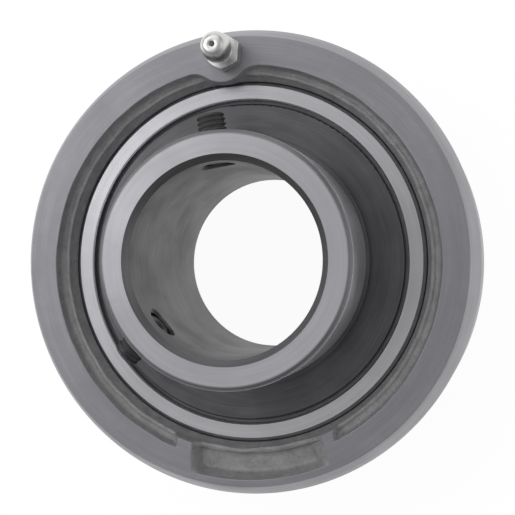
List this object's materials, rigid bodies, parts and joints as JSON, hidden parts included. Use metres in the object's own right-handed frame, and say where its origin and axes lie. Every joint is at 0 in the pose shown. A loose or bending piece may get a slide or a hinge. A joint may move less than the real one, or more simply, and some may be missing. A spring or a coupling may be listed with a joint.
{
  "type": "cartridge bearing unit",
  "caption": "Round cast cartridge housing with a self-aligning insert ball bearing, set screws in the extended inner ring and a grease nipple on the face.",
  "frame": {"origin": "centre of the bearing: on the bore axis, midway across the outer ring and the housing", "axes": "+Z along the bore axis towards the set screws; +Y towards the grease nipple; +X completes the right-handed frame"},
  "size_m": [0.1, 0.1, 0.0492],
  "materials": {
    "cast_iron": "machined faces with rough cast recesses, oiled",
    "ring_steel": "ground",
    "flinger_steel": "pressed, satin",
    "shield_steel": "pressed, satin",
    "seal_rubber": "matt",
    "ball_steel": "polished",
    "cage_steel": "pressed",
    "rivet_steel": "formed heads",
    "screw_steel": "black oxide",
    "nipple_steel": "zinc plated",
    "spring_steel": "drawn wire"
  },
  "bodies": {
    "housing": {"housing": "cast_iron", "grease_nipple": "nipple_steel", "nipple_spring": "spring_steel"},
    "nipple_ball": {"nipple_ball": "ball_steel"},
    "outer_ring": {"outer_ring": "ring_steel", "seal_shield_front": "shield_steel", "seal_shield_rear": "shield_steel", "seal_lip_front": "seal_rubber", "seal_lip_rear": "seal_rubber"},
    "inner_ring": {"inner_ring": "ring_steel", "flinger_front": "flinger_steel", "flinger_rear": "flinger_steel"},
    "set_screw_a": {"set_screw_a": "screw_steel"},
    "set_screw_b": {"set_screw_b": "screw_steel"},
    "cage": {"cage_front": "cage_steel", "cage_rear": "cage_steel", "cage_rivets": "rivet_steel"},
    "ball_1": {"ball_1": "ball_steel"},
    "ball_2": {"ball_2": "ball_steel"},
    "ball_3": {"ball_3": "ball_steel"},
    "ball_4": {"ball_4": "ball_steel"},
    "ball_5": {"ball_5": "ball_steel"},
    "ball_6": {"ball_6": "ball_steel"},
    "ball_7": {"ball_7": "ball_steel"},
    "ball_8": {"ball_8": "ball_steel"},
    "ball_9": {"ball_9": "ball_steel"}
  },
  "joints": [
    {"name": "self_align", "type": "hinge", "parent": "housing", "child": "outer_ring", "pos_m": [0, 0, 0], "axis": [1, 0, 0], "range_deg": [-3, 3]},
    {"name": "shaft_spin", "type": "hinge", "parent": "outer_ring", "child": "inner_ring", "pos_m": [0, 0, 0], "axis": [0, 0, 1], "continuous": true},
    {"name": "cage_orbit", "type": "hinge", "parent": "outer_ring", "child": "cage", "pos_m": [0, 0, 0], "axis": [0, 0, 1], "continuous": true},
    {"name": "screw_a_feed", "type": "slide", "parent": "inner_ring", "child": "set_screw_a", "axis": [0.0785, -0.9969, 0], "range_m": [-0.002, 0.0006]},
    {"name": "screw_b_feed", "type": "slide", "parent": "inner_ring", "child": "set_screw_b", "axis": [0.809, 0.5878, 0], "range_m": [-0.002, 0.0006]},
    {"name": "nipple_valve", "type": "slide", "parent": "housing", "child": "nipple_ball", "axis": [0, 0, -1], "range_m": [0, 0.0008], "stiffness_N_per_m": 200, "springref_m": -0.0005, "deforming": ["nipple_spring"]},
    {"name": "ball_1_spin", "type": "hinge", "parent": "cage", "child": "ball_1", "pos_m": [0, 0.03, 0], "axis": [0, 0, 1], "continuous": true},
    {"name": "ball_2_spin", "type": "hinge", "parent": "cage", "child": "ball_2", "pos_m": [-0.01928, 0.02298, 0], "axis": [0, 0, 1], "continuous": true},
    {"name": "ball_3_spin", "type": "hinge", "parent": "cage", "child": "ball_3", "pos_m": [-0.02954, 0.00521, 0], "axis": [0, 0, 1], "continuous": true},
    {"name": "ball_4_spin", "type": "hinge", "parent": "cage", "child": "ball_4", "pos_m": [-0.02598, -0.015, 0], "axis": [0, 0, 1], "continuous": true},
    {"name": "ball_5_spin", "type": "hinge", "parent": "cage", "child": "ball_5", "pos_m": [-0.01026, -0.02819, 0], "axis": [0, 0, 1], "continuous": true},
    {"name": "ball_6_spin", "type": "hinge", "parent": "cage", "child": "ball_6", "pos_m": [0.01026, -0.02819, 0], "axis": [0, 0, 1], "continuous": true},
    {"name": "ball_7_spin", "type": "hinge", "parent": "cage", "child": "ball_7", "pos_m": [0.02598, -0.015, 0], "axis": [0, 0, 1], "continuous": true},
    {"name": "ball_8_spin", "type": "hinge", "parent": "cage", "child": "ball_8", "pos_m": [0.02954, 0.00521, 0], "axis": [0, 0, 1], "continuous": true},
    {"name": "ball_9_spin", "type": "hinge", "parent": "cage", "child": "ball_9", "pos_m": [0.01928, 0.02298, 0], "axis": [0, 0, 1], "continuous": true}
  ],
  "couplings": [
    {"joint": "cage_orbit", "follows": "shaft_spin", "ratio": 0.40078},
    {"joint": "ball_1_spin", "follows": "shaft_spin", "ratio": -2.4205},
    {"joint": "ball_2_spin", "follows": "shaft_spin", "ratio": -2.4205},
    {"joint": "ball_3_spin", "follows": "shaft_spin", "ratio": -2.4205},
    {"joint": "ball_4_spin", "follows": "shaft_spin", "ratio": -2.4205},
    {"joint": "ball_5_spin", "follows": "shaft_spin", "ratio": -2.4205},
    {"joint": "ball_6_spin", "follows": "shaft_spin", "ratio": -2.4205},
    {"joint": "ball_7_spin", "follows": "shaft_spin", "ratio": -2.4205},
    {"joint": "ball_8_spin", "follows": "shaft_spin", "ratio": -2.4205},
    {"joint": "ball_9_spin", "follows": "shaft_spin", "ratio": -2.4205}
  ]
}
